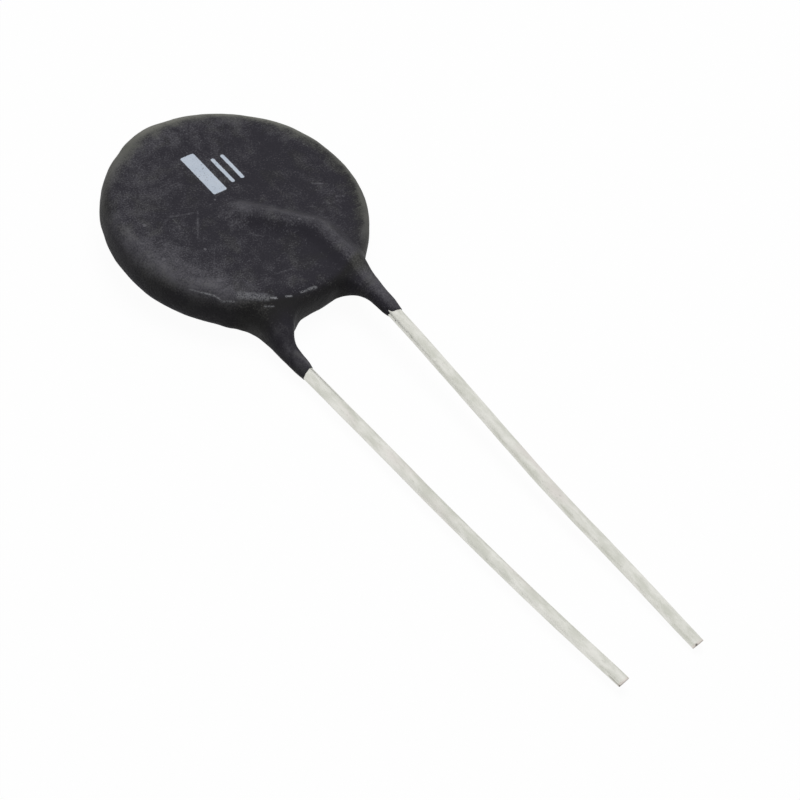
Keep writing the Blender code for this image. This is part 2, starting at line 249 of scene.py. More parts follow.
# %% Places on the disc
def disc_place(finish):
    """Object coordinates in the disc's own axes, in millimetres."""
    seen = finish.add("ShaderNodeTexCoord", {}, {}, "Object")
    inputs = {"Vector": seen, "Location": DISC_MIDDLE, "Rotation": LEAN_TURN, "Scale": (MM, MM, MM)}
    return finish.add("ShaderNodeMapping", {"vector_type": "TEXTURE"}, inputs)


def axes(place):
    """The three coordinates of a place."""
    split = place.finish.add("ShaderNodeSeparateXYZ", {}, {0: place}).socket.node
    return [Value(place.finish, socket) for socket in split.outputs]


def from_line(x, y, start, end):
    """Distance from a straight line between two places, seen from above."""
    run = Vector(end) - Vector(start)
    length = run.length
    run = run / length
    along = (x - start[0]) * run.x + (y - start[1]) * run.y
    along = smaller(larger(along, 0.0), length)
    off_x = x - start[0] - along * run.x
    off_y = y - start[1] - along * run.y
    return (off_x * off_x + off_y * off_y) ** 0.5


def spot(coordinates, middle, reach):
    """1 at a place and 0 beyond a reach. Two coordinates make a post, three make a ball."""
    squares = [(value - centre) * (value - centre) for value, centre in zip(coordinates, middle)]
    return fade(sum(squares[1:], squares[0]) ** 0.5, reach, 0.0)


print("patterns count in units of", MM, "m")

# %% [markdown]
# ## Selecting by place
#
# An operator works on everything that is selected, so each step starts with nothing selected and
# then picks its object.


# %% Selecting
def only(piece):
    """Selects one object alone, and makes it the active one."""
    bpy.ops.object.select_all(action="DESELECT")
    piece.select_set(True)
    bpy.context.view_layer.objects.active = piece


def edit_whole(piece, *steps):
    """Runs edit-mode steps on the whole mesh."""
    only(piece)
    bpy.ops.object.mode_set(mode="EDIT")
    bpy.ops.mesh.select_all(action="SELECT")
    for step in steps:
        step()
    bpy.ops.object.mode_set(mode="OBJECT")


def edit_some(piece, kind, wanted, *steps):
    """Runs edit-mode steps on those faces or edges that pass a test."""
    only(piece)
    bpy.context.tool_settings.mesh_select_mode = (False, kind == "EDGE", kind == "FACE")
    edit_whole(piece, lambda: bpy.ops.mesh.select_all(action="DESELECT"))
    for part in piece.data.polygons if kind == "FACE" else piece.data.edges:
        part.select = wanted(part)
    bpy.ops.object.mode_set(mode="EDIT")
    for step in steps:
        step()
    bpy.ops.object.mode_set(mode="OBJECT")


def add_modifier(piece, kind, **settings):
    """Adds a modifier with its settings and applies it."""
    only(piece)
    modifier = piece.modifiers.new(kind.lower(), kind)
    for name, value in settings.items():
        setattr(modifier, name, value)
    bpy.ops.object.modifier_apply(modifier=modifier.name)


print("packed nodes:", ", ".join(sorted(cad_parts)))

# %% [markdown]
# ## Copies to work on
#
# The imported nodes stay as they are, so a finished piece starts as a copy of one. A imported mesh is
# loose triangles. Corners that share a place are merged first, and pairs of triangles become
# four-sided faces, which subdivide more evenly.

# %% Copies
MERGE_REACH = 0.001 * MM
QUAD_BEND = math.radians(50)
QUAD_SKEW = math.radians(60)


def copy_of(node, name):
    """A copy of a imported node's mesh, its loose triangles joined to one skin."""
    piece = bpy.data.objects.new(name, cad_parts[node].data.copy())
    bpy.context.scene.collection.objects.link(piece)
    only(piece)
    bpy.ops.mesh.customdata_custom_splitnormals_clear()
    edit_whole(
        piece,
        lambda: bpy.ops.mesh.remove_doubles(threshold=MERGE_REACH),
        lambda: bpy.ops.mesh.tris_convert_to_quads(face_threshold=QUAD_BEND, shape_threshold=QUAD_SKEW),
    )
    print(name, "starts with", len(piece.data.polygons), "faces")
    return piece


# %% [markdown]
# ## The resin skin
#
# The real disc was dipped in liquid resin, which draped over the wires and ran a little way down
# them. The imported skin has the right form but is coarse, and its wall has two sides: the outside and
# the side that lies on the ceramic and the wires. The flat rings at the two mouths are taken off,
# which leaves two loose sheets. Only the outer one is worked on.


# %% Skin: two sheets
def open_edges(piece):
    """The edges that have a face on one side only."""
    uses = Counter(key for face in piece.data.polygons for key in face.edge_keys)
    return {key for key, count in uses.items() if count == 1}


MOUTH_Y = -14.3
RING_DEPTH = 0.02
skin = copy_of("resin_coating", "resin_skin")
spots = [to_disc(corner.co) for corner in skin.data.vertices]
edit_some(
    skin,
    "FACE",
    lambda face: all(spots[corner].y < MOUTH_Y + RING_DEPTH for corner in face.vertices),
    lambda: bpy.ops.mesh.delete(type="FACE"),
)
only(skin)
bpy.ops.mesh.separate(type="LOOSE")
sheets = sorted(bpy.context.selected_objects, key=lambda sheet: sheet.dimensions.x)
lining, skin = sheets[0], sheets[-1]
lining.name, skin.name = "skin_lining", "resin_skin"
print("sheets:", len(sheets), "open edges outside:", len(open_edges(skin)))

# %% [markdown]
# ## Moving corners by a rule
#
# The fine shape of the skin could be brushed by hand. Written as a rule instead, it can be read,
# repeated and changed. A rule takes a place on the skin and says where it goes.


# %% Moving corners
def reshape(piece, rule):
    """Moves each corner of a mesh to where a rule sends it, in the disc's own millimetres."""
    for corner in piece.data.vertices:
        corner.co = from_disc(*rule(to_disc(corner.co)))
    piece.data.update()


def ease(share):
    """A soft step from 0 to 1."""
    share = min(max(share, 0.0), 1.0)
    return share * share * (3 - 2 * share)


def table_value(table, place):
    """A value read from a table of places and values, with soft steps between them."""
    for (start, first), (end, second) in zip(table, table[1:]):
        if min(start, end) <= place <= max(start, end):
            return first + (second - first) * ease((place - start) / (end - start))
    return table[-1][1]


print("a quarter of the way, the soft step is at", ease(0.25))

# %% [markdown]
# ## Softening
#
# Two subdivisions take the flat facets away. Two soft clouds then push the sheet in and out a little,
# because thick resin never dries quite even. The rim of the real disc isn't a true circle either, so
# it's let out or taken in by up to a fifth of a millimetre. A few small pushes do the same for the
# necks, the arch between them, and the near edge.

# %% Skin: softening
SUBDIVISIONS = 2

# The size of the lumps in the resin and how deep they are
LUMPS = ((4.5, 0.08), (1.4, 0.05))
LUMP_LEVEL = 0.8
RIM_START = 7.2
RIM_FULL = 9.2

# How far the rim is let out, by the angle around the disc
RIM_SWELL = (
    (0, 0.0), (30, 0.03), (38, 0.0), (50, -0.12), (60, -0.18), (71, -0.17), (84, -0.10), (97, 0.17),
    (110, 0.05), (117, -0.03), (125, 0.05), (135, 0.06), (146, 0.08), (156, -0.03), (172, -0.04),
    (186, 0.03), (194, 0.08), (214, 0.10), (224, 0.11), (232, 0.12), (240, 0.04), (248, 0.0), (360, 0.0),
)

# Small pushes: the place, how far around it they reach, and the push
NUDGES = (
    ((0.6, -10.0, -0.7), 2.4, (0.0, 0.15, 0.0)),
    ((2.8, -10.0, -1.0), 2.4, (0.0, 0.28, 0.0)),
    ((-2.25, -10.4, -1.0), 1.25, (0.10, -0.15, 0.0)),
    ((-3.0, -11.0, 0.0), 1.2, (0.08, 0.04, 0.0)),
    ((-3.35, -12.2, -0.7), 1.7, (-0.11, 0.0, 0.0)),
    ((-3.45, -13.4, -1.1), 0.95, (-0.07, 0.0, 0.0)),
    ((-5.0, -9.2, -1.7), 1.4, (0.17, 0.08, 0.0)),
    ((-4.65, -9.0, -2.2), 1.3, (0.14, 0.12, 0.0)),
    ((-5.8, -7.6, -1.6), 1.5, (-0.13, -0.12, 0.0)),
    ((5.0, -10.0, 1.0), 1.6, (-0.08, 0.0, 0.0)),
    ((-7.0, -6.2, 0.9), 2.6, (-0.05, -0.04, 0.10)),
)


def uneven_rim(place):
    """Lets the rim in and out, and adds the small pushes."""
    radius = max(math.hypot(place.x, place.y), 1.0)
    angle = math.degrees(math.atan2(place.y, place.x)) % 360
    share = ease((radius - RIM_START) / (RIM_FULL - RIM_START))
    out = table_value(RIM_SWELL, angle) * share / radius
    moved = Vector((place.x * (1 + out), place.y * (1 + out), place.z))
    for middle, reach, shift in NUDGES:
        moved += Vector(shift) * ease(1 - (place - Vector(middle)).length / reach)
    return moved


add_modifier(skin, "SUBSURF", levels=SUBDIVISIONS)
for size, depth in LUMPS:
    cloud = bpy.data.textures.new("lumps", "CLOUDS")
    cloud.noise_scale = size * MM
    push = {"texture": cloud, "strength": depth * MM, "mid_level": LUMP_LEVEL}
    add_modifier(skin, "DISPLACE", texture_coords="LOCAL", **push)
reshape(skin, uneven_rim)
print("outer faces:", len(skin.data.polygons))

# %% [markdown]
# ## The mouths of the necks
#
# Where the resin ends on a wire it thins to almost nothing. The lower mouth is a clean, slightly
# slanted line. The upper one is ragged: a longer flap on one side, and a small notch where a bubble
# broke. Each mouth is shaped by moving its last corners, first inward and then along the wire.

# %% Skin: the middles of the mouths
rings = {}
for key in open_edges(lining):
    for corner in key:
        place = to_disc(lining.data.vertices[corner].co)
        rings.setdefault(place.x > 0, {})[corner] = place
middles = {}
for is_upper, ring in rings.items():
    middles[is_upper] = sum(ring.values(), Vector()) / len(ring)
print("mouth middles:", middles)

# %% Skin: mouths
LIP = 0.545
LINING_LIP = 0.525
THINNING = 0.95
THIN_CURVE = 2.2
REACH_CURVE = 1.6

# Two directions round a wire: across the view, and towards it
ACROSS = Vector((0.8, 0.6))
FACING = Vector((-0.6, 0.8))

# How far each mouth reaches down its wire. A ripple is a size, waves, and where they start.
UPPER_MOUTH = {"out": 0.0, "slant": 0.17, "flap": 0.13, "notch": 0.32}
UPPER_MOUTH["ripples"] = ((0.02, 9, 1), (0.015, 17, 0))
LOWER_MOUTH = {"out": 0.07, "slant": -0.13, "flap": 0.15, "notch": 0.0}
LOWER_MOUTH["ripples"] = ((0.015, 8, 0),)
NOTCH_PLACE = -0.43
NOTCH_WIDTH = 0.13


def mouth_reach(mouth, across, facing):
    """How much further than a square cut the resin reaches at one side of a mouth."""
    reach = mouth["out"] + mouth["slant"] * across + mouth["flap"] * max(facing, 0.0)
    for size, waves, start in mouth["ripples"]:
        reach += size * math.sin(waves * across + start)
    if facing > 0:
        reach -= mouth["notch"] * math.exp(-(((across - NOTCH_PLACE) / NOTCH_WIDTH) ** 2))
    return reach


def mouth_rule(lip):
    """The move that thins the resin to a lip and gives each mouth its own edge."""

    def rule(place):
        near = min(1 - (place.y - MOUTH_Y) / THINNING, 1.0)
        if near <= 0:
            return place
        is_upper = place.x > 0
        middle = middles[is_upper]
        side = Vector((place.x - middle.x, place.z - middle.z))
        wide = side.length
        side /= wide
        wide = lip + (wide - lip) * (1 - near ** THIN_CURVE)
        mouth = UPPER_MOUTH if is_upper else LOWER_MOUTH
        reach = mouth_reach(mouth, side.dot(ACROSS), side.dot(FACING)) * near ** REACH_CURVE
        return Vector((middle.x + side.x * wide, place.y - reach, middle.z + side.y * wide))

    return rule


reshape(skin, mouth_rule(LIP))
reshape(lining, mouth_rule(LINING_LIP))
print("the resin ends", round((LIP - LINING_LIP) * 1000), "thousandths of a millimetre thick")

# %% [markdown]
# The two sheets are joined again, and each mouth is closed by a ring of faces between them, so the
# skin is one closed wall.

# %% Skin: joining
SHARP_EDGE = math.radians(50)
only(skin)
lining.select_set(True)
bpy.ops.object.join()
for is_upper in (True, False):
    edges = open_edges(skin)
    spots = [to_disc(corner.co) for corner in skin.data.vertices]
    edit_some(
        skin,
        "EDGE",
        lambda edge: edge.key in edges and (spots[edge.vertices[0]].x > 0) == is_upper,
        lambda: bpy.ops.mesh.bridge_edge_loops(),
    )
edit_whole(skin, lambda: bpy.ops.mesh.normals_make_consistent(inside=False))
only(skin)
bpy.ops.object.shade_smooth_by_angle(angle=SHARP_EDGE)
print("skin faces:", len(skin.data.polygons), "open edges left:", len(open_edges(skin)))

# %% [markdown]
# ## The finish of the resin
#
# The resin is matt and nearly black, with a hint of violet. Light grey dust has been rubbed into it.
# The dust is one number, from bare resin to thick dust, and is put together from four kinds of noise
# and from masks. The same number also carries painted light: painted highlights raise it and painted
# shade lowers it. A mask is 1 on one part of the disc and 0 elsewhere. The table below says where each
# mask starts and where it is full.

# %% Resin: noise and heights
# In millimetres, apart from the grains, the cloud and the streaks, which are levels of noise, and the
# matt dust, which is a level of the dust and painted light
RANGES = {
    "top face": (0.2, 0.8),
    "underside": (-0.2, -0.8),
    "crest": (0.85, 0.25),
    "crest below": (0.8, 0.25),
    "crest over the wire": (-4.6, -6.0),
    "flank, outside": (2.4, 0.9),
    "flank, inside": (0.45, 0.9),
    "hollow_shade": (1.6, 0.3),
    "near side": (-4.5, -8.5),
    "near band": (6.6, 9.2),
    "near band's end": (10.0, 9.5),
    "shoulder": (-6.8, -8.6),
    "shoulder's edge": (8.7, 9.4),
    "shoulder's top": (0.5, 1.1),
    "far side": (-3.0, 3.0),
    "far rim": (9.0, 9.7),
    "far rim's height": (-0.6, 0.2),
    "far tint": (8.2, 9.5),
    "far band": (6.6, 9.3),
    "back": (2.0, 7.0),
    "left": (3.0, -8.0),
    "right": (1.0, 6.0),
    "neck streak": (0.36, 0.08),
    "neck streak's height": (-1.7, -1.2),
    "scratch": (0.13, 0.02),
    "coarse grain": (0.56, 0.68),
    "scuffed grain": (0.34, 0.56),
    "inked grain": (0.24, 0.40),
    "olive cloud": (0.50, 0.66),
    "wall": (9.4, 10.0),
    "necks": (-9.5, -11.0),
    "upper neck": (-1.5, 0.0),
    "lower neck's top": (-1.8, -1.1),
    "top of the picture": (5.5, 8.8),
    "pale edge": (9.15, 9.85),
    "pale streaks": (0.15, 0.55),
    "matt dust": (0.0, 0.8),
}
resin = new_finish("black_resin")
place = disc_place(resin)
x, y, z = axes(place)
radius = (x * x + y * y) ** 0.5
clouds = noise(place, scale=0.24, detail=2.0, rough=0.5)
blotches = noise(place, scale=1.0, detail=4.0, rough=0.6)
streaks = noise(place, scale=2.6, detail=3.0, rough=0.6, warp=1.2)
grain = noise(place, scale=8.0, detail=2.0, rough=0.7)


def mask(name, value):
    """A mask from the table of ranges."""
    return fade(value, *RANGES[name])


on_top = mask("top face", z)
print("ranges:", len(RANGES), "resin nodes so far:", len(resin.tree.nodes))

# %% [markdown]
# ## Painted light and shade on the ridge
#
# The crest of the ridge gets a painted highlight. Its flanks, the hollow beside it and a wide valley
# get painted shade. The crest is found by its distance from three straight lines: across the disc,
# along the wire, and down the neck. The underside has a ridge too, over the lower wire.

# %% Resin: the ridge
CREST = (((-0.4, -1.2), (3.5, -5.1)), ((3.5, -5.1), (3.62, -9.2)), ((3.62, -9.2), (3.85, -14.0)))
UNDER_CREST = (((0.0, -1.2), (-4.0, -5.1)), ((-4.0, -5.1), (-4.12, -14.0)))
HOLLOW = ((1.95, -5.6), (2.2, -9.2))
VALLEY = ((1.2, -6.4), 5.5)
CREST_WOBBLE = 0.5


def nearest(lines):
    """Distance from the nearest of a few straight lines."""
    return reduce(smaller, [from_line(x, y, start, end) for start, end in lines])


ridge = nearest(CREST) + (blotches - 0.5) * CREST_WOBBLE
# The crest mask is a painted highlight, and the flank, hollow and valley masks below are painted shade.
crest = mask("crest", ridge) * on_top
crest_over_wire = mask("crest over the wire", y)
crest_below = mask("crest below", nearest(UNDER_CREST)) * mask("underside", z)
flank_shade = mask("flank, outside", ridge) * mask("flank, inside", ridge) * on_top
hollow_shade = mask("hollow_shade", from_line(x, y, *HOLLOW)) * on_top
valley_shade = spot((x, y), *VALLEY) * on_top
print("resin nodes so far:", len(resin.tree.nodes))

# %% [markdown]
# ## Painted light on the rim
#
# The near edge and the far edge of the rim are lit differently, so they need masks of their own: a
# painted lit band and a painted lit shoulder on the near side, a painted highlight and painted olive
# rim light on the far rim, and a band near the rim that is lighter towards the back. Each side of the
# disc is found by how far a point lies from the middle in one direction.

# %% Resin: the rim
FAR = (0.75, 0.66)
SHOULDER = (0.97, 0.25)
BACK = (0.3, 0.95)
PICTURE_TOP = (0.5, 0.87)
SHOULDER_DROP = 0.4
TINT_WOBBLE = 2.0


def towards(direction):
    """How far a point lies from the disc's middle in a direction, seen from above."""
    return x * direction[0] + y * direction[1]


near_side = mask("near side", towards(FAR))
far_side = mask("far side", towards(FAR))
shoulder = mask("shoulder", towards(SHOULDER))
# On the shoulder the radius is drawn in, so the painted light of the top reaches further out before the
# painted shade of the side wall begins.
lit_edge_radius = radius - shoulder * SHOULDER_DROP
# The near band and the shoulder are painted highlights on the near edge; the far rim and its tint are
# painted rim light on the far edge. The far band is lighter towards the back.
near_band_light = mask("near band", radius) * mask("near band's end", lit_edge_radius) * near_side * on_top
lit_shoulder = shoulder * mask("shoulder's edge", radius) * mask("shoulder's top", z)
far_band = mask("far band", radius) * mask("back", towards(BACK)) * on_top
far_rim_highlight = mask("far rim", radius) * far_side * mask("far rim's height", z)
far_rim_light_tint = mask("far tint", radius + (blotches - 0.5) * TINT_WOBBLE) * far_side
left_side = mask("left", x) * on_top
right_side = mask("right", x) * on_top
print("resin nodes so far:", len(resin.tree.nodes))

# %% [markdown]
# ## How thick the dust is, with painted light and shade
#
# Each mask adds a share of dust or of painted light, or takes one away as painted shade. Rubbed patches
# are added as soft round spots. The fine grain comes last and is weaker on the side of the disc, where
# less has been rubbed in.

# %% Resin: dust
# Rubbed patches on the top face: the middle, the reach and the share
PATCHES = (
    (-4.7, 5.3, 3.2, 0.16), (-7.9, -1.0, 2.2, 0.30), (-6.4, -5.0, 2.4, 0.19), (-0.9, -0.9, 2.0, 0.46),
    (-0.9, -7.0, 1.6, 0.18), (6.4, -1.2, 1.8, 0.14), (4.6, 7.0, 2.6, 0.16), (0.5, 8.0, 2.4, 0.12),
    (-7.5, -3.3, 2.0, 0.14), (-7.2, -5.8, 2.2, 0.16),
)
BARE_DUST = 0.02
CLOUD_SHARE = 0.7
BLOTCH_SHARE = 1.4
FAR_RIM_HIGHLIGHT_SHARE = 1.2
CREST_HIGHLIGHT_SHARE = 0.32
CREST_HIGHLIGHT_OVER_WIRE = 0.25
GRAIN_SHARE = 1.3
STREAK_SHARE = 0.5
COARSE_SHARE = 0.25
GRAIN_EVERYWHERE = 0.4
GRAIN_ON_TOP = 0.6
GRAIN_AT_LEFT = 0.25
NECK_HIGHLIGHT_LINE = ((-4.1, -12.8), (-3.75, -14.3))

# Round places near the necks: a painted highlight on the lower neck, painted shade on the wall between
# the necks, and a darker place at the root of the lower neck. The middle and the reach
LOWER_NECK = ((-3.5, -10.9), 1.5)
SHADED_ARCH = ((0.0, -10.6), 2.8)
DARKER_ROOT = ((-3.2, -10.0), 2.2)
lower_neck = spot((x, y), *LOWER_NECK)
# A painted highlight in a line along the lower neck.
neck_highlight = mask("neck streak", from_line(x, y, *NECK_HIGHLIGHT_LINE)) * mask("neck streak's height", z)
# Shares: the near band, the shoulder, the crest, the lower neck and the line along it are painted
# highlights; the arch, the flank, the valley and the hollow are painted shade. The left of the top is
# lighter and the right darker.
DUST_AND_LIGHT_SHARES = (
    (left_side, 0.10),
    (near_band_light, 0.22),
    (far_band, 0.40),
    (lit_shoulder, 0.36),
    (crest * (crest_over_wire * CREST_HIGHLIGHT_OVER_WIRE + CREST_HIGHLIGHT_SHARE), 1.0),
    (crest_below, 0.2),
    (spot((x, y), *SHADED_ARCH), -0.3),
    (spot((x, y), *DARKER_ROOT), -0.55),
    (flank_shade, -0.05),
    (valley_shade, -0.06),
    (hollow_shade, -0.26),
    (right_side, -0.12),
    (lower_neck, 0.45),
    (neck_highlight, 0.55),
)
dust_and_light_level = (clouds - 0.5) * CLOUD_SHARE + (blotches - 0.5) * BLOTCH_SHARE + BARE_DUST
for part, share in DUST_AND_LIGHT_SHARES:
    dust_and_light_level = dust_and_light_level + part * share
for middle_x, middle_y, reach, share in PATCHES:
    dust_and_light_level = dust_and_light_level + spot((x, y), (middle_x, middle_y), reach) * on_top * share
grains = (grain - 0.5) * GRAIN_SHARE + (streaks - 0.5) * STREAK_SHARE
grains = grains + mask("coarse grain", grain) * COARSE_SHARE
grains = grains * (on_top * GRAIN_ON_TOP + left_side * GRAIN_AT_LEFT + GRAIN_EVERYWHERE)
dust_and_painted_light = dust_and_light_level + grains + far_rim_highlight * FAR_RIM_HIGHLIGHT_SHARE
print("dust is made of", len(DUST_AND_LIGHT_SHARES) + len(PATCHES), "parts, in", len(resin.tree.nodes), "nodes")

# %% [markdown]
# ## Scratches and specks
#
# Thin scratches and small specks are single marks on the top face. A scratch follows a straight line
# and the streaky noise breaks it up. Both are added to the dust, so they have its colour.

# %% Resin: scratches and specks
# Scratches: both ends and the strength
SCRATCHES = (
    ((-5.5, 1.25), (-3.7, 0.75), 0.30), ((-3.3, 0.75), (-5.0, -1.47), 0.30),
    ((-2.1, -2.6), (-0.4, -3.8), 0.16), ((4.0, -1.1), (4.55, -2.1), 0.14),
    ((-6.9, 0.6), (-5.6, 1.3), 0.16), ((-9.1, 0.15), (-8.8, -0.1), 0.45),
    ((6.1, -1.15), (6.7, -1.5), 0.36), ((6.85, -3.05), (7.4, -3.35), 0.28),
    ((5.6, -3.1), (5.95, -3.4), 0.20), ((4.2, -2.85), (4.85, -3.25), 0.20),
    ((-2.2, -7.2), (-0.9, -7.4), 0.22), ((-1.3, -2.95), (-0.6, -3.8), 0.20),
    ((-4.6, -2.9), (-6.0, -4.8), 0.12),
)
SCRATCH_SHARE = 3.0

# Specks: the middle and the reach
SPECKS = (
    (-5.24, -2.67, 0.17), (-6.31, -5.75, 0.24), (-8.58, -1.98, 0.18), (2.35, -4.1, 0.14),
    (-1.45, 1.05, 0.14), (-7.7, 1.5, 0.2),
)
SPECK_SHARE = 2.2
for start, end, strength in SCRATCHES:
    scratch = mask("scratch", from_line(x, y, start, end)) * on_top * streaks
    dust_and_painted_light = dust_and_painted_light + scratch * (strength * SCRATCH_SHARE)
for middle_x, middle_y, reach in SPECKS:
    dust_and_painted_light = dust_and_painted_light + spot((x, y), (middle_x, middle_y), reach) * on_top * SPECK_SHARE
print("marks:", len(SCRATCHES) + len(SPECKS))

# %% [markdown]
# ## Scuffs and a painted highlight on the near edge
#
# The edge of the rim is rounded, so a mark laid straight down would smear on its steep side. These
# are laid slantwise instead, square to the round of the edge. Each is a short line with a share of
# its own, and noise breaks it up. The lines along the top of the near edge are partly scuffs and partly
# a painted highlight on that edge. The wide one is a patch of fine hatching.

# %% Resin: scuffs on the edge
# Scuffs: both ends, half the width and the strength
SCUFFS = (
    ((-8.43, -5.08), (-7.89, -5.71), 0.13, 0.5), ((-7.89, -5.71), (-7.19, -6.51), 0.13, 0.9),
    ((-7.19, -6.51), (-7.08, -7.15), 0.13, 0.8), ((-7.05, -7.25), (-6.34, -7.63), 0.16, 0.7),
    ((-3.60, -8.70), (-3.35, -8.88), 0.18, 0.9), ((-2.55, -9.12), (-2.20, -9.28), 0.16, 0.9),
    ((-1.30, -9.34), (-0.85, -9.38), 0.16, 0.7), ((-0.60, -9.36), (-0.05, -9.46), 0.22, 0.7),
    ((-4.59, -9.16), (-4.03, -9.47), 0.13, 0.45), ((-5.50, -7.40), (-4.00, -8.45), 0.55, 0.40),
)
SCUFF_LEVEL = 1.3
SCUFF_SLANT = (0.75, 0.665)
SCUFF_CORE = 0.3
STREAK_WOBBLE = 0.20
GRAIN_WOBBLE = 0.34
slid_x = x + (z - SCUFF_LEVEL) * SCUFF_SLANT[0]
slid_y = y + (z - SCUFF_LEVEL) * SCUFF_SLANT[1]
wobble = (streaks - 0.5) * STREAK_WOBBLE + (grain - 0.5) * GRAIN_WOBBLE
marks = []
for start, end, width, strength in SCUFFS:
    away = from_line(slid_x, slid_y, start, end) + wobble
    marks.append(fade(away, width, width * SCUFF_CORE) * strength)
# Scuffs, and partly a painted highlight along the near edge.
scuff_and_highlight = reduce(larger, marks) * mask("scuffed grain", grain) * on_top
print("scuffs:", len(SCUFFS))

# %% [markdown]
# ## The colour of the resin
#
# The dust and painted light blend a dark colour into a light one. The face is violet in most places and
# olive in some. The side of the disc gets darker copies of the colours as painted shade, and the far rim
# an olive tint and a thin pale line as painted rim light. Each step is laid over the last one, as paint
# would be.

# %% Resin: colour
VIOLET = ((0.0250, 0.0236, 0.0300, 1), (0.112, 0.109, 0.122, 1))
OLIVE = ((0.0256, 0.0256, 0.0242, 1), (0.112, 0.113, 0.103, 1))
SHADED_WALL = ((0.0195, 0.0190, 0.0195, 1), (0.095, 0.0945, 0.088, 1))
FAR_EDGE_HIGHLIGHT_COLOUR = (0.235, 0.235, 0.21, 1)
SCUFF_AND_HIGHLIGHT_COLOUR = (0.32, 0.325, 0.345, 1)
OLIVE_SHARE = 0.3
FAR_RIM_LIGHT_LIFT = 0.35
LOWER_NECK_SHARE = 0.85
EDGE_REACH = 0.45
EDGE_HIGHLIGHT_SHARE = 0.33
EDGE_HIGHLIGHT_ON_TOP = 0.45
olive_cloud = noise(place, scale=0.5, detail=3.0, rough=0.6, warp=0.6)
# The far rim takes the olive colours at a lighter level: painted rim light.
is_olive = larger(mask("olive cloud", olive_cloud) * OLIVE_SHARE, far_rim_light_tint)
face_colour = blend(is_olive, blend(dust_and_painted_light, *VIOLET), blend(dust_and_painted_light + far_rim_light_tint * FAR_RIM_LIGHT_LIFT, *OLIVE))
neck_top = larger(mask("upper neck", x), mask("lower neck's top", z) * LOWER_NECK_SHARE)
on_neck = larger(mask("necks", y) * neck_top, lower_neck)
# The side wall takes darker copies of the resin's colours: painted shade.
on_shaded_wall = mask("wall", lit_edge_radius) * (1.0 - on_neck)
colour = blend(on_shaded_wall, face_colour, blend(dust_and_painted_light, *SHADED_WALL))
# A thin pale line on the far rim, stronger towards the top of the picture: a painted highlight.
picture_top = mask("top of the picture", towards(PICTURE_TOP))
far_edge_highlight = mask("pale edge", radius + picture_top * EDGE_REACH) * far_side
far_edge_highlight = far_edge_highlight * mask("pale streaks", streaks)
far_edge_highlight = far_edge_highlight * (picture_top * EDGE_HIGHLIGHT_ON_TOP + EDGE_HIGHLIGHT_SHARE)
colour = blend(far_edge_highlight, colour, FAR_EDGE_HIGHLIGHT_COLOUR)
colour = blend(scuff_and_highlight, colour, SCUFF_AND_HIGHLIGHT_COLOUR)
print("resin nodes so far:", len(resin.tree.nodes))

# %% [markdown]
# ## Ink
#
# The disc is marked in pale ink, with three plain bars. A bar is found by the distance from a
# rectangle with round corners, and the ink is worn through where the skin is grainy.

# %% Resin: ink
# Bars: the middle, and half the width and the length
INK_BARS = ((-0.55, 3.6, 0.62, 2.1), (0.95, 3.2, 0.16, 1.35), (1.85, 3.2, 0.16, 1.35))
INK_CORNER = 0.14
INK_BLUR = 0.02
INK_WOBBLE = 0.12
INK_SHARE = 0.96
INK_COLOURS = ((0.50, 0.57, 0.68, 1), (0.66, 0.72, 0.80, 1))


def ink_bar(middle_x, middle_y, half_x, half_y):
    """1 inside a bar with round corners, and 0 outside."""
    past_x = larger(abs(x - middle_x) - (half_x - INK_CORNER), 0.0)
    past_y = larger(abs(y - middle_y) - (half_y - INK_CORNER), 0.0)
    edge = (past_x * past_x + past_y * past_y) ** 0.5 + (grain - 0.5) * INK_WOBBLE
    return fade(edge, INK_CORNER + INK_BLUR, INK_CORNER - INK_BLUR)


ink = reduce(larger, [ink_bar(*bar) for bar in INK_BARS]) * on_top * mask("inked grain", grain)
colour = blend(ink * INK_SHARE, colour, blend(blotches, *INK_COLOURS))
print("ink bars:", len(INK_BARS))

# %% [markdown]
# ## The surface of the resin
#
# Dust makes the resin more matt, and so does the painted light that shares its number. It reflects
# little, a faint sheen lifts the edges that are seen from the side, and two fine bumps make its pits and
# its lumps. The finished skin then stands in for the packed coating.

# %% Resin: surface
ROUGH = 0.68
ROUGH_DUST = 0.15
REFLECTION = 0.12
SHEEN = 0.10
SHEEN_ROUGH = 0.4
PIT_DEPTH = 0.02 * MM
LUMP_DEPTH = 0.05 * MM
surface = {
    "Base Color": colour,
    "Roughness": mask("matt dust", dust_and_painted_light) * ROUGH_DUST + ROUGH,
    "Specular IOR Level": REFLECTION,
    "Sheen Weight": SHEEN,
    "Sheen Roughness": SHEEN_ROUGH,
    "Normal": bump(streaks, LUMP_DEPTH, bump(grain, PIT_DEPTH)),
}
resin.change("Principled BSDF", surface)
paint(skin, resin)
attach(skin, "root")
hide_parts("resin_coating")
print("resin nodes:", len(resin.tree.nodes))

# %% [markdown]
# ## The wires
#
# Each lead is round copper wire, tinned, and cut with a slanting snip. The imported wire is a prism
# with twelve sides, so a copy is swollen by what subdivision will take off again, its cut edge is
# bevelled, and it is subdivided to a round. Then the last millimetre is drawn out on its upper side
# and a little sideways, and the whole wire gets the slight waves that handling leaves.

# %% Wires: form
WIRE_RADIUS = 0.5 * MM
WIRE_SIDES = 12
CUT_BEVEL = 0.05 * MM
CUT_CORNER = 1.0
CUT_SLANT = 0.53
SIDE_SLANT = 0.12
SNIP_REACH = 1.2
END_DEPTH = 0.1
EXTRA = {"upper": 0.05, "lower": 0.18}

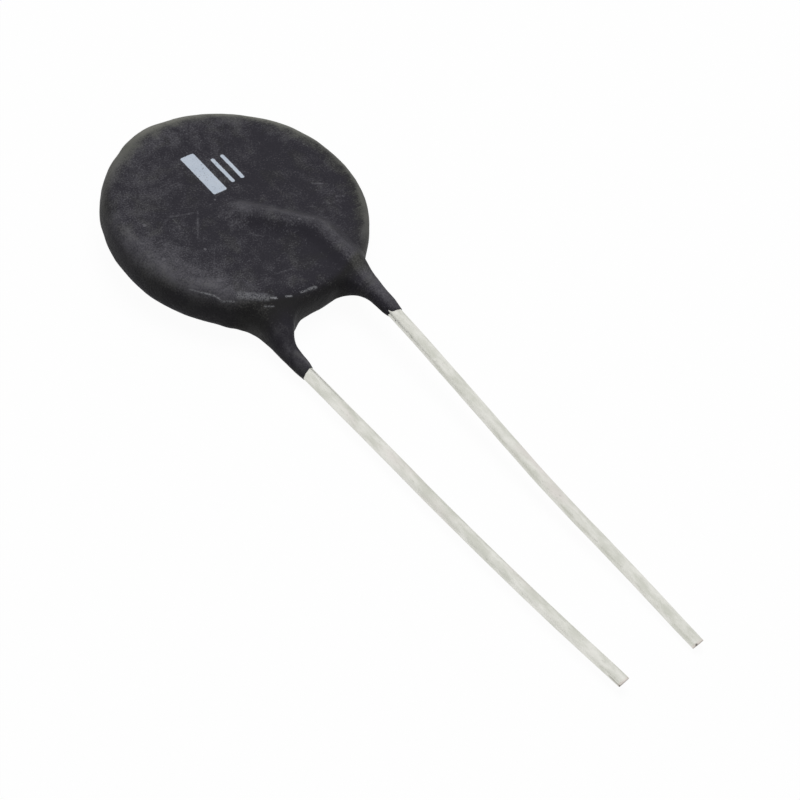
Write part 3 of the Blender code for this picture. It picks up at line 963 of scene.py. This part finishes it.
# How far each wire strays sideways, by the place along it
BENDS = {
    "upper": (
        (0, 0.0), (-14, 0.0), (-18, 0.05), (-21.5, 0.045), (-25, 0.01), (-28.7, -0.065), (-32.3, -0.135),
        (-36, -0.135), (-39.5, -0.075), (-43, -0.065), (-46, -0.10), (-48, -0.155), (-50.3, -0.18),
    ),
    "lower": (
        (0, 0.0), (-14, 0.0), (-18, 0.04), (-21.5, 0.08), (-25, 0.09), (-29, 0.045), (-36, 0.035),
        (-39.5, 0.03), (-43, 0.045), (-46, 0.08), (-48, 0.11), (-50.3, 0.13),
    ),
}

# Subdivision draws a corner in to a third of (2 + cosine of a side's angle), and this undoes it
swell = WIRE_RADIUS * (3 / (2 + math.cos(math.tau / WIRE_SIDES)) - 1)
tips = {}
wires = {}
for word in ("upper", "lower"):
    wire = copy_of("lead_" + word, "tinned_lead_" + word)
    edit_whole(wire, lambda: bpy.ops.transform.shrink_fatten(value=swell))
    add_modifier(wire, "BEVEL", width=CUT_BEVEL, segments=2, limit_method="ANGLE", angle_limit=CUT_CORNER)
    add_modifier(wire, "SUBSURF", levels=SUBDIVISIONS)
    spots = [to_disc(corner.co) for corner in wire.data.vertices]
    end = min(place.y for place in spots)
    last = [place for place in spots if place.y < end + END_DEPTH]
    tip = sum(last, Vector()) / len(last)
    tips[word] = Vector((tip.x + BENDS[word][-1][1], tip.y - EXTRA[word], tip.z))

    def snip(place):
        """Bends the wire a little sideways, and draws out the upper side of its cut."""
        near = ease(1 - (place.y - tip.y) / SNIP_REACH)
        facing = (place.x - tip.x) * FACING.x + (place.z - tip.z) * FACING.y
        drawn = near * (CUT_SLANT * facing + SIDE_SLANT * (place.x - tip.x) + EXTRA[word])
        return Vector((place.x + table_value(BENDS[word], place.y), place.y - drawn, place.z))

    reshape(wire, snip)
    only(wire)
    bpy.ops.object.shade_smooth()
    wires[word] = wire
    print(wire.name, len(wire.data.polygons), "tip at", [round(value, 2) for value in tip])

# %% [markdown]
# ## The finish of the wires
#
# Old tin is dull and uneven: grey-green in one place, pinkish where the copper shows faintly through.
# The patches are drawn out along the wire, the way it was pulled. At the cut the copper is bare, with
# a dark burr on one side and a thin line of painted shade along the cut edge. The upper wire has a dark
# pit beside the resin, and the lower one a dark line of painted shade along one side near its end.

# %% Wires: colours and marks
TIN = ((0.60, 0.605, 0.545, 1), (0.78, 0.775, 0.73, 1))
PINKISH = (0.74, 0.69, 0.67, 1)
FLECK = (0.42, 0.42, 0.38, 1)
COPPER = (0.66, 0.56, 0.52, 1)
CUT_EDGE_SHADE_COLOUR = (0.36, 0.33, 0.31, 1)
CREASE_SHADE_COLOUR = (0.36, 0.35, 0.31, 1)
BURR = (0.15, 0.14, 0.125, 1)
DRAWN_OUT = (1.0, 0.3, 1.0)
BURR_REACH = 0.19
BURRS = {
    "upper": tips["upper"] + Vector((-0.38, -0.14, 0.32)),
    "lower": tips["lower"] + Vector((-0.47, -0.08, -0.05)),
}
PIT = middles[True] + Vector((-0.5, -0.72, 0.03))
PIT_REACH = 0.12
FINE_DEPTH = 0.01 * MM

# Where each mark on the tin starts and where it is full, in levels of noise or in millimetres
TIN_RANGES = {
    "mottled": (0.32, 0.68),
    "pinkish": (0.55, 0.75),
    "flecks": (0.60, 0.72),
    "bare copper": (0.32, 0.05),
    "cut edge": (0.09, 0.02),
    "crease": (0.10, 0.03),
    "crease's end": (1.4, 1.0),
    "rough": (0.3, 0.7),
    "metal": (1.0, 0.4),
}
TIN_SHARES = {"pinkish": 0.6, "flecks": 0.35, "copper": 0.45, "edge": 0.7, "crease": 0.8, "burr": 0.85}


def tin_mask(name, value):
    """A mask from the table of ranges for tin."""
    return fade(value, *TIN_RANGES[name])


print("burrs at:", BURRS)

# %% Wires: finish
TIN_ROUGH = 0.34
TIN_ROUGHER = 0.12
COPPER_WOBBLE = 0.2
CREASE_DROP = 0.02
CREASE_WOBBLE = 0.1
CREASE_SIDE = 0.3
for word, wire in wires.items():
    tip = tips[word]
    tin = new_finish("dull_tin_" + word)
    place = disc_place(tin)
    x, y, z = axes(place)
    drawn = tin.add("ShaderNodeVectorMath", {"operation": "MULTIPLY"}, {0: place, 1: DRAWN_OUT})
    mottling = noise(drawn, scale=1.6, detail=4.0, rough=0.6)
    patches = noise(drawn, scale=0.55, detail=2.0, rough=0.5)
    fine = noise(drawn, scale=6.0, detail=3.0, rough=0.6)
    facing = (x - tip.x) * FACING.x + (z - tip.z) * FACING.y
    from_cut = y - tip.y + facing * CUT_SLANT + (x - tip.x) * SIDE_SLANT
    bare = tin_mask("bare copper", from_cut + (fine - 0.5) * COPPER_WOBBLE)
    burr = spot((x, y, z), BURRS[word], BURR_REACH)
    colour = blend(tin_mask("mottled", mottling), *TIN)
    colour = blend(tin_mask("pinkish", patches) * TIN_SHARES["pinkish"], colour, PINKISH)
    colour = blend(tin_mask("flecks", fine) * TIN_SHARES["flecks"], colour, FLECK)
    colour = blend(bare * TIN_SHARES["copper"], colour, COPPER)
    # A thin dark line along the cut edge: painted shade.
    colour = blend(tin_mask("cut edge", from_cut) * TIN_SHARES["edge"], colour, CUT_EDGE_SHADE_COLOUR)
    if word == "upper":
        burr = larger(burr, spot((x, y, z), PIT, PIT_REACH))
    else:
        # A dark line along one side near the end of the lower wire: painted shade.
        crease = tin_mask("crease", abs(z - tip.z + CREASE_DROP + (fine - 0.5) * CREASE_WOBBLE))
        crease = crease * fade(x, tip.x, tip.x - CREASE_SIDE) * tin_mask("crease's end", from_cut)
        colour = blend(crease * TIN_SHARES["crease"], colour, CREASE_SHADE_COLOUR)
    surface = {
        "Base Color": blend(burr * TIN_SHARES["burr"], colour, BURR),
        "Metallic": tin_mask("metal", burr),
        "Roughness": tin_mask("rough", mottling) * TIN_ROUGHER + TIN_ROUGH,
        "Normal": bump(fine, FINE_DEPTH),
    }
    tin.change("Principled BSDF", surface)
    paint(wire, tin)
    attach(wire, "root")
    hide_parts("lead_" + word)
    print(wire.name, "has", len(tin.tree.nodes), "nodes")

# %% [markdown]
# ## Inside
#
# The skin hides the ceramic, its silver and its solder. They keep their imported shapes, with a plain
# finish of their own each, for anyone who cuts the model open.

# %% Inside finishes
OXIDE = ((0.04, 0.035, 0.03, 1), (0.07, 0.06, 0.05, 1))
SILVER = ((0.70, 0.69, 0.65, 1), (0.80, 0.79, 0.76, 1))
SOLDER = ((0.50, 0.50, 0.50, 1), (0.62, 0.62, 0.62, 1))


def speckled(name, colours, scale, metallic, roughness):
    """A finish of two close colours in fine noise."""
    finish = new_finish(name)
    colour = blend(noise(disc_place(finish), scale), *colours)
    finish.change("Principled BSDF", {"Base Color": colour, "Metallic": metallic, "Roughness": roughness})
    return finish


oxide = speckled("sintered_oxide", OXIDE, scale=12.0, metallic=0.0, roughness=0.8)
silver = speckled("fired_silver", SILVER, scale=6.0, metallic=1.0, roughness=0.35)
solder = speckled("solder", SOLDER, scale=3.0, metallic=1.0, roughness=0.3)
paint(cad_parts["ceramic_disc"], oxide)
for word in ("upper", "lower"):
    paint(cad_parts["electrode_" + word], silver)
    paint(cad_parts["solder_" + word], solder)
print("materials:", ", ".join(material.name for material in bpy.data.materials))

# %% [markdown]
# ## The table
#
# The camera, and anything shiny, sees a plain white table. To keep the light level natural, other
# rays see a mid grey one, which throws less light back up at the dark sides of the disc. A small
# share of plain shading stays in, and carries a very faint shadow.

# %% Table
TABLE_SIZE = 1.2
TABLE_GREY = (0.18, 0.18, 0.18, 1)
TABLE_WHITE = (0.95, 0.95, 0.95, 1)
TABLE_ROUGH = 0.9
GLOW_SHARE = 0.965
bpy.ops.object.select_all(action="DESELECT")
bpy.ops.mesh.primitive_plane_add(size=TABLE_SIZE)
table = bpy.context.object
table.name = "table"

white = new_finish("white_table")
by_camera = white.add("ShaderNodeLightPath", {}, {}, "Is Camera Ray")
by_shine = white.add("ShaderNodeLightPath", {}, {}, "Is Glossy Ray")
in_view = larger(by_camera, by_shine)
seen_colour = blend(in_view, TABLE_GREY, TABLE_WHITE)
white.change("Principled BSDF", {"Base Color": seen_colour, "Roughness": TABLE_ROUGH})
glow = white.add("ShaderNodeEmission", {}, {"Color": (1, 1, 1, 1), "Strength": 1.0})
plain = Value(white, white.tree.nodes["Principled BSDF"].outputs[0])
shown = white.add("ShaderNodeMixShader", {}, {0: in_view * GLOW_SHARE, 1: plain, 2: glow})
white.change("Material Output", {"Surface": shown})
paint(table, white)
print("table is", TABLE_SIZE, "m wide")

# %% [markdown]
# ## The light
#
# A wide lamp overhead, a little behind the object, gives soft light from above, so that the sides
# which face the camera stay dark. The room adds a little light from all round. Shiny metal sees the
# room as a white tent instead, which is how dull tin comes out evenly pale.

# %% Light
ROOM_LIGHT = 0.16
TENT_LIGHT = 1.0
LAMP_SIZE = 0.36
LAMP_POWER = 1.9
LAMP_PLACE = Vector((0.04, 0.06, 0.5))
room = Finish(bpy.data.worlds.new("soft_room"))
bpy.context.scene.world = room.owner
by_shine = room.add("ShaderNodeLightPath", {}, {}, "Is Glossy Ray")
levels = {"Value": by_shine, "To Min": ROOM_LIGHT, "To Max": TENT_LIGHT}
level = room.add("ShaderNodeMapRange", {}, levels)
room.change("Background", {"Color": (1, 1, 1, 1), "Strength": level})

lamp_data = bpy.data.lights.new("overhead", "AREA")
lamp_data.shape = "DISK"
lamp_data.size = LAMP_SIZE
lamp_data.energy = LAMP_POWER
lamp = bpy.data.objects.new("overhead", lamp_data)
bpy.context.scene.collection.objects.link(lamp)
lamp.location = LAMP_PLACE
lamp.rotation_euler = (-LAMP_PLACE).to_track_quat("-Z", "Y").to_euler()
lamp.visible_glossy = False
bpy.context.scene.view_settings.view_transform = "Standard"
print("lamp is", round(LAMP_PLACE.length, 2), "m away")
